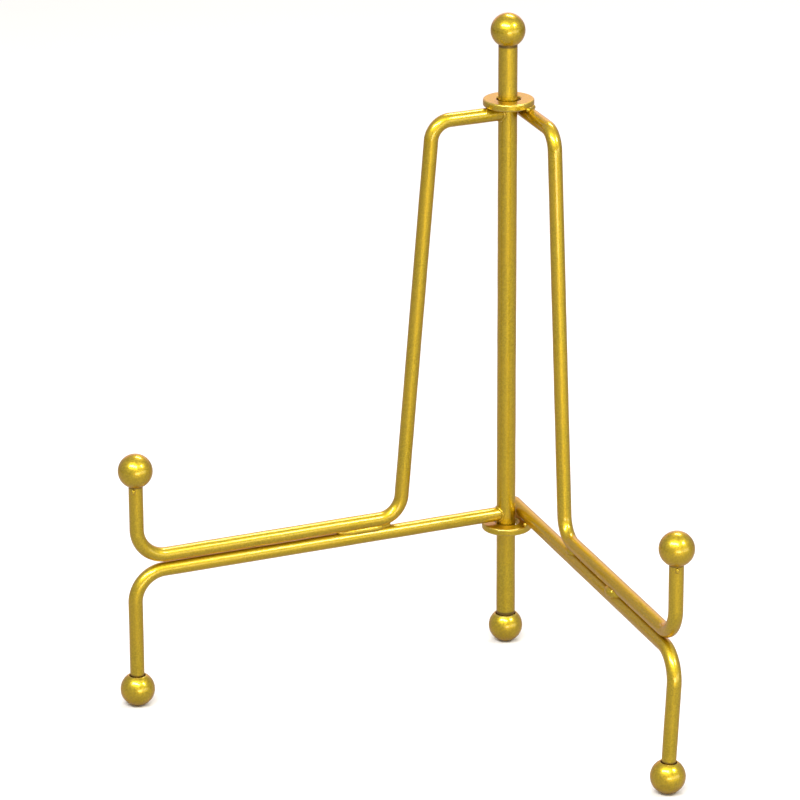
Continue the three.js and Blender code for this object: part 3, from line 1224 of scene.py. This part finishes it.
@dataclass
class WeldMaker:
    """Makes every weld with one geometry node tree.

    Args:
        tree: The tree that lays and melts puddles.
        pitch: Distance between puddles.
        unevenness: How much their sizes differ.
        melt: Size of the grid they are melted on.
    """

    tree: WeldRunTree
    pitch: float = 0.5 * MM
    unevenness: float = 0.06
    melt: float = 0.16 * MM

    def build(self, name: str, node: str | None, body: Body, points: list[Vector], radius: float, seed: int,
              closed: bool = False) -> bpy.types.Object:
        """Lays one weld.

        Args:
            name: The piece's name.
            node: The CAD bead it stands for, or None.
            body: The body it rides on.
            points: The line that the puddles follow.
            radius: Their radius.
            seed: Seed of their sizes.
            closed: Whether the line is a ring.

        Returns:
            The finished piece.
        """
        values = {
            "Puddle Radius": radius,
            "Puddle Pitch": self.pitch,
            "Unevenness": self.unevenness,
            "Melt": self.melt,
            "Seed": seed,
            "Finish": WELD_PAINT.made,
        }
        mesh = self.tree.make(f"{name}_laid", path_object(points, closed), values)
        return finish_piece(name, mesh, body, node)


# ---- Sub-assemblies ----


@dataclass
class CentrePost:
    """The post with its foot ball and its top ball.

    Args:
        stock: The stand's stock sizes.
        rods: Maker of the post.
        seed: Seed of its unevenness.
    """

    stock: Stock
    rods: RodMaker
    seed: int = 3

    def build(self) -> None:
        """Builds the post and both balls."""
        low, high = self.stock.post_box
        radius = self.stock.post_radius
        line = [Vector((0, 0, low.z)), Vector((0, 0, high.z))]
        ends = {"rear_foot_ball": UP, "top_ball": -UP}
        balls = tuple(self.stock.ball_centre(node) for node in ends)
        self.rods.build("post", Body.STAND, line, radius, self.seed, balls)
        for node, towards_rod in ends.items():
            BallEnd(node, Body.STAND, radius, towards_rod, self.stock).build()


@dataclass
class WireWing:
    """One wing: a leg-and-arm wire under a hook, ledge and backrest wire.

    Args:
        place: Where the wing stands.
        body: The body it rides on.
        rods: Maker of its wires.
        inner_end: Where its arms stop, from the post's axis.
        seeds: Seeds of the lower and the upper wire's unevenness.
        leg_turn: How far the leg is turned about its arm, in radians.
        leg_reach: Distance from the post's axis to the leg.
        leg_bend: Radius of the bend from leg to arm.
        hook_reach: Distance from the post's axis to the hook.
        hook_bend: Radius of the bend from hook to ledge.
        backrest_foot: Distance from the post's axis to the backrest's foot.
        backrest_foot_bend: Radius of the bend there.
        backrest_head: Distance from the post's axis to the backrest's head.
        backrest_head_bend: Radius of the bend there.
    """

    place: WingPlace
    body: Body
    rods: RodMaker
    inner_end: float
    seeds: tuple[int, int]
    leg_turn: float = 0.0
    leg_reach: float = 126.5 * MM
    leg_bend: float = 9.7 * MM
    hook_reach: float = 125.6 * MM
    hook_bend: float = 9.6 * MM
    backrest_foot: float = 37 * MM
    backrest_foot_bend: float = 7.6 * MM
    backrest_head: float = 25.5 * MM
    backrest_head_bend: float = 6.4 * MM

    def build(self) -> None:
        """Builds both wires and both balls."""
        place = self.place
        radius = place.stock.wire_radius
        wires = ((self.lower_line(), place.foot), (self.upper_line(), place.hook))
        for level, (line, ball), seed in zip(("lower", "upper"), wires, self.seeds):
            self.rods.build(f"{place.side}_{level}_wire", self.body, line, radius, seed, (ball,))
        for end, towards_rod in (("foot", self.up_leg()), ("hook", -UP)):
            BallEnd(f"{place.side}_{end}_ball", self.body, radius, towards_rod, place.stock).build()

    def up_leg(self) -> Vector:
        """Direction from the foot ball up the leg."""
        return Matrix.Rotation(self.place.inward * self.leg_turn, 3, self.place.out) @ UP

    def lower_line(self) -> list[Vector]:
        """Centre line of the lower wire, from the foot ball to the post.

        Returns:
            Its points.
        """
        place = self.place
        seat = place.foot + self.up_leg() * place.stock.rod_seat
        corner = place.point(self.leg_reach, 0, place.arm_height)
        inner = place.point(self.inner_end, 0, place.arm_height)
        return bent_line([seat, corner, inner], [self.leg_bend])

    def upper_line(self) -> list[Vector]:
        """Centre line of the upper wire, from the hook ball to the post.

        Returns:
            Its points.
        """
        place = self.place
        corners = [
            place.point(self.hook_reach, 0, place.hook.z - place.stock.rod_seat),
            place.point(self.hook_reach, 0, place.ledge_height),
            place.point(self.backrest_foot, 0, place.ledge_height),
            place.point(self.backrest_head, 0, place.top_arm_height),
            place.point(self.inner_end, 0, place.top_arm_height),
        ]
        return bent_line(corners, [self.hook_bend, self.backrest_foot_bend, self.backrest_head_bend])


@dataclass
class WeldSet:
    """Every weld of the stand, and the drips under the hook balls.

    Args:
        left: Where the left wing stands.
        right: Where the right wing stands.
        welds: Maker of the beads.
        groove: How far a slim bead lies from the wires' plane, on the album side.
        groove_sag: How far a bead lies below the middle of the groove.
        groove_dip: How far behind the wires' plane a bead's ends lie, in puddle radii.
        groove_fade: Longest stretch over which a bead's end sinks into the groove.
        fade_share: Most of a bead's length that one fading end may take.
        slim: Puddle radius of the two beads by the backrests.
        full: Puddle radius of the right wing's outer bead.
        left_run: Where the left bead starts and ends, from the post's axis.
        right_inner_run: Where the right wing's inner bead does.
        right_outer_run: Where the right wing's outer bead does.
        collar: Puddle radius of the rings round the left arms' ends.
        collar_points: Points round such a ring.
        fillet: Puddle radius of the washers' welds.
        fillet_turn: How far a washer's weld runs to each side of its arm, in degrees round the rim.
        fillet_points: Points along such a weld.
        fillet_depth: How far it lies from the washer's face to the arm's axis, as a share.
        drip: Radius of a drip.
        drip_stand: How far a drip's middle stands off the hook's skin.
        drip_below: How far under the ball it starts.
        drip_run: How far down it runs.
        left_drip: The side of the left hook that its drip is on, in degrees from the open front.
        right_drip: The side of the right hook that its drip is on.
    """

    left: WingPlace
    right: WingPlace
    welds: WeldMaker
    groove: float = 0.85 * MM
    groove_sag: float = 0.1 * MM
    groove_dip: float = 0.4
    groove_fade: float = 4.0 * MM
    fade_share: float = 0.4
    slim: float = 1.18 * MM
    full: float = 1.85 * MM
    left_run: tuple[float, float] = (41.2 * MM, 57.5 * MM)
    right_inner_run: tuple[float, float] = (40.5 * MM, 46.5 * MM)
    right_outer_run: tuple[float, float] = (74.5 * MM, 82.5 * MM)
    collar: float = 0.5 * MM
    collar_points: int = 48
    fillet: float = 0.85 * MM
    fillet_turn: float = 13.0
    fillet_points: int = 9
    fillet_depth: float = 0.12
    drip: float = 0.72 * MM
    drip_stand: float = 0.05 * MM
    drip_below: float = 0.5 * MM
    drip_run: float = 0.5 * MM
    left_drip: float = 8.0
    right_drip: float = 27.0

    def build(self) -> None:
        """Lays the seven welds and two drips."""
        left, right = self.left, self.right
        self._ledge("weld_left_ledge", left, Body.STAND, self.left_run, self.slim, seed=21)
        self._ledge("weld_right_ledge_inner", right, Body.SWING, self.right_inner_run, self.slim, seed=22)
        self._ledge("weld_right_ledge_outer", right, Body.SWING, self.right_outer_run, self.full, seed=23)
        self._collar("weld_left_arm_to_post", left.arm_height, seed=24)
        self._collar("weld_left_top_arm_to_post", left.top_arm_height, seed=25)
        self._washer_fillet("weld_lower_washer", right.arm_height, "lower_washer", seed=26)
        self._washer_fillet("weld_upper_washer", right.top_arm_height, "upper_washer", seed=27)
        self._drip("left_hook_drip", left, Body.STAND, self.left_drip, seed=28)
        self._drip("right_hook_drip", right, Body.SWING, self.right_drip, seed=29)

    def _ledge(self, node: str, place: WingPlace, body: Body, run: tuple[float, float], radius: float,
               seed: int) -> None:
        """Fills a stretch of the groove between the stacked wires, sinking into it at both ends.

        Args:
            node: The CAD bead it stands for.
            place: Where the wing stands.
            body: The body it rides on.
            run: Where the bead starts and ends, from the post's axis.
            radius: Radius of its puddles.
            seed: Seed of its puddles.
        """
        middle = (place.arm_height + place.ledge_height) / 2 - self.groove_sag
        shown = self.groove + radius - self.slim
        sunk = -radius * self.groove_dip
        first, last = run
        fade = min(self.groove_fade, self.fade_share * (last - first))
        spots = ((first, sunk), (first + fade, shown), (last - fade, shown), (last, sunk))
        bead = [place.point(reach, beside, middle) for reach, beside in spots]
        self.welds.build(f"painted_{node}", node, body, bead, radius, seed)

    def _collar(self, node: str, height: float, seed: int) -> None:
        """Rings a left arm where it meets the post.

        Args:
            node: The CAD collar it stands for.
            height: The arm's height.
            seed: Seed of its puddles.
        """
        place = self.left
        radius = place.stock.wire_radius
        ring = []
        for i in range(self.collar_points):
            angle = 2 * math.pi * i / self.collar_points
            beside = radius * math.cos(angle)
            reach = math.sqrt(place.stock.post_radius**2 - beside**2)
            ring.append(place.point(reach, beside, height + radius * math.sin(angle)))
        self.welds.build(f"painted_{node}", node, Body.STAND, ring, self.collar, seed, closed=True)

    def _washer_fillet(self, node: str, arm_height: float, washer: str, seed: int) -> None:
        """Fills the corner where a right arm leaves its washer's rim.

        Args:
            node: The CAD bead it stands for.
            arm_height: The arm's height.
            washer: The washer's node.
            seed: Seed of its puddles.
        """
        place = self.right
        low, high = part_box(washer)
        face = low.z if low.z > arm_height else high.z
        rim = (high.x - low.x) / 2
        leave = math.asin(place.offset / rim)
        height = face + (arm_height - face) * self.fillet_depth
        steps = self.fillet_points - 1
        arc = []
        for i in range(self.fillet_points):
            angle = leave + math.radians(-self.fillet_turn + 2 * self.fillet_turn * i / steps)
            beside = -(rim * math.sin(angle) - place.offset)
            arc.append(place.point(rim * math.cos(angle), beside, height))
        self.welds.build(f"painted_{node}", node, Body.SWING, arc, self.fillet, seed)

    def _drip(self, name: str, place: WingPlace, body: Body, azimuth: float, seed: int) -> None:
        """Leaves a hardened drip of paint on a hook, just under its ball.

        Args:
            name: The piece's name.
            place: Where the wing stands.
            body: The body it rides on.
            azimuth: The side of the hook that it hangs on, in degrees from the open front.
            seed: Seed of its size.
        """
        side = away_from_front(azimuth, 0.0) * (place.stock.wire_radius + self.drip_stand)
        top = place.hook + side - Vector((0, 0, place.stock.ball_radius + self.drip_below))
        self.welds.build(name, None, body, [top, top - Vector((0, 0, self.drip_run))], self.drip, seed)


# ---- Studio ----


@dataclass(frozen=True)
class SoftBox:
    """A rectangular soft light aimed at the stand.

    Args:
        name: The light's name.
        azimuth: Where it hangs, in degrees round the stand from the open front.
        elevation: Its height above the horizon, in degrees.
        distance: How far away it is.
        width: Its width.
        height: Its height.
        power: Its power in watts.
        colour: Its colour.
    """

    name: str
    azimuth: float
    elevation: float
    distance: float
    width: float
    height: float
    power: float
    colour: tuple[float, float, float] = (1.0, 1.0, 1.0)

    def hang(self, target: Vector) -> None:
        """Makes the light.

        Args:
            target: The point that it faces.
        """
        away = away_from_front(self.azimuth, self.elevation)
        light = bpy.data.lights.new(self.name, "AREA")
        light.shape = "RECTANGLE"
        light.size = self.width
        light.size_y = self.height
        light.energy = self.power
        light.color = self.colour
        holder = bpy.data.objects.new(self.name, light)
        holder.visible_camera = False
        facing = away.to_track_quat("Z", "Y").to_matrix().to_4x4()
        holder.matrix_world = Matrix.Translation(target + away * self.distance) @ facing
        bpy.context.scene.collection.objects.link(holder)


@dataclass
class Studio:
    """A pale floor, a pale surround and soft boxes.

    Args:
        surround: Colour of the soft light from all round.
        surround_strength: Its strength.
        floor_seen: Colour that the floor shows.
        floor_bounced: Colour of the light that it throws back.
        floor_half: Half the floor's width.
        floor_drop: How far the floor lies under the feet.
        boxes: The soft boxes.
    """

    surround: tuple[float, float, float] = (0.56, 0.54, 0.52)
    surround_strength: float = 1.0
    floor_seen: tuple[float, float, float] = (0.86, 0.86, 0.86)
    floor_bounced: tuple[float, float, float] = (0.38, 0.365, 0.335)
    floor_half: float = 6.0
    floor_drop: float = 0.02 * MM
    boxes: tuple[SoftBox, ...] = (
        SoftBox("front_box", 2.0, 49.0, 1.2, 1.10, 0.28, 15.5),
        SoftBox("side_box", 82.0, 43.0, 1.2, 0.30, 0.29, 4.9),
        SoftBox("back_box", 190.0, 53.0, 1.2, 0.50, 0.24, 4.9, (1.0, 0.96, 0.92)),
        SoftBox("warm_back_box", 205.0, 13.0, 1.6, 1.80, 0.70, 2.8, (1.0, 0.55, 0.50)),
        SoftBox("low_front_box", 35.0, -1.0, 1.0, 0.50, 0.26, 2.5, (1.0, 0.84, 0.66)),
        SoftBox("low_side_box", 74.0, 3.0, 1.4, 1.20, 0.40, 3.0, (1.0, 0.96, 0.86)),
    )

    def build(self) -> None:
        """Builds the floor, the surround and the lights."""
        self._floor()
        self._surround()
        target = (CAD_LOW + CAD_HIGH) / 2
        for box in self.boxes:
            box.hang(target)
        bpy.context.scene.view_settings.view_transform = "Standard"

    def _floor(self) -> None:
        """Lays the floor that the stand's feet touch."""
        half = self.floor_half
        mesh = bpy.data.meshes.new("floor")
        corners = [(-half, -half), (half, -half), (half, half), (-half, half)]
        mesh.from_pydata([(x, y, -self.floor_drop) for x, y in corners], [], [(0, 1, 2, 3)])
        mesh.materials.append(self._floor_material())
        floor = bpy.data.objects.new("floor", mesh)
        bpy.context.scene.collection.objects.link(floor)

    def _floor_material(self) -> bpy.types.Material:
        """A matt white that throws back less light than it shows, as a flagged studio floor does.

        Returns:
            The floor's material.
        """
        material, sheet = blank_material("pale_floor")
        direct = sheet.add("ShaderNodeLightPath").outputs["Is Camera Ray"]
        colour = sheet.blend(direct, self.floor_bounced, self.floor_seen)
        matt = sheet.add("ShaderNodeBsdfDiffuse", {"Color": colour})
        sheet.add("ShaderNodeOutputMaterial", {"Surface": matt.outputs[0]})
        return material

    def _surround(self) -> None:
        """Sets the soft light that comes from all round."""
        world = bpy.data.worlds.new("surround")
        world.use_nodes = True
        glow = world.node_tree.nodes["Background"]
        glow.inputs["Color"].default_value = opaque(self.surround)
        glow.inputs["Strength"].default_value = self.surround_strength
        bpy.context.scene.world = world


@dataclass
class ViewCamera:
    """The camera, looking a little down on the stand through a long lens.

    Args:
        azimuth: Degrees round the stand from the open front.
        elevation: Degrees above the horizon.
        roll: Degrees the view leans.
        distance: Distance from the aimed point.
        lens: Focal length in millimetres.
        sensor: Width of the sensor in millimetres.
        sideways: Aimed point's distance along the camera's right from the post's axis.
        height: Its height.
        far: Distance beyond which nothing is drawn.
    """

    azimuth: float = 23.337
    elevation: float = 19.967
    roll: float = -0.2196
    distance: float = 1.5
    lens: float = 213.21
    sensor: float = 36.0
    sideways: float = -33.695 * MM
    height: float = 82.253 * MM
    far: float = 100.0

    def build(self) -> None:
        """Makes the camera the scene's own."""
        turn = math.radians(self.azimuth)
        right = Vector((math.cos(turn), math.sin(turn), 0))
        back = away_from_front(self.azimuth, self.elevation)
        aim = right * self.sideways + Vector((0, 0, self.height))
        lean = Matrix.Rotation(math.radians(self.roll), 3, back)
        side, up = lean @ right, lean @ back.cross(right)
        data = bpy.data.cameras.new("camera")
        data.sensor_width = self.sensor
        data.lens = self.lens
        data.clip_end = self.far
        camera = bpy.data.objects.new("camera", data)
        turned = Matrix((side, up, back)).transposed().to_4x4()
        camera.matrix_world = Matrix.Translation(aim + back * self.distance) @ turned
        bpy.context.scene.collection.objects.link(camera)
        bpy.context.scene.camera = camera


# ---- Whole stand ----


@dataclass
class DisplayEasel:
    """The whole stand: the post, its left wing, and the right wing that swings on washers.

    Args:
        past_post: How far the right wing's arms run behind the post.
        left_arm_start: Where the left wing's arms stop inside the post's skin, in post radii.
        right_leg_turn: How far the right leg is turned about its arm, in degrees.
        washer_play: How far the washers hang to one side of the post.
        lower_washer_drop: How far the lower washer hangs below its place in the CAD part.
        upper_washer_drop: How far the upper one does.
        stock: The stand's stock sizes.
    """

    past_post: float = 7.5 * MM
    left_arm_start: float = 0.5
    right_leg_turn: float = 3.0
    washer_play: float = 0.3 * MM
    lower_washer_drop: float = 0.4 * MM
    upper_washer_drop: float = 0.22 * MM
    stock: Stock = field(default_factory=Stock)

    def build(self) -> None:
        """Builds every piece of the stand."""
        for paint in (ROD_PAINT, BALL_PAINT, WASHER_PAINT, WELD_PAINT):
            paint.build()
        rods = RodMaker(BentRodTree())
        left = left_place(self.stock)
        right = right_place(self.stock)
        CentrePost(self.stock, rods).build()
        in_post = self.stock.post_radius * self.left_arm_start
        WireWing(left, Body.STAND, rods, in_post, seeds=(11, 18)).build()
        turn = math.radians(self.right_leg_turn)
        WireWing(right, Body.SWING, rods, -self.past_post, seeds=(31, 38), leg_turn=turn).build()
        aside = right.across * self.washer_play
        WasherRing("lower_washer", aside - UP * self.lower_washer_drop).build()
        WasherRing("upper_washer", aside - UP * self.upper_washer_drop).build()
        WeldSet(left, right, WeldMaker(WeldRunTree())).build()


def main() -> None:
    """Builds the stand, the studio and the camera."""
    logging.basicConfig(level=logging.INFO, format="%(name)s %(message)s")
    DisplayEasel().build()
    Studio().build()
    ViewCamera().build()


if __name__ == "__main__":
    main()
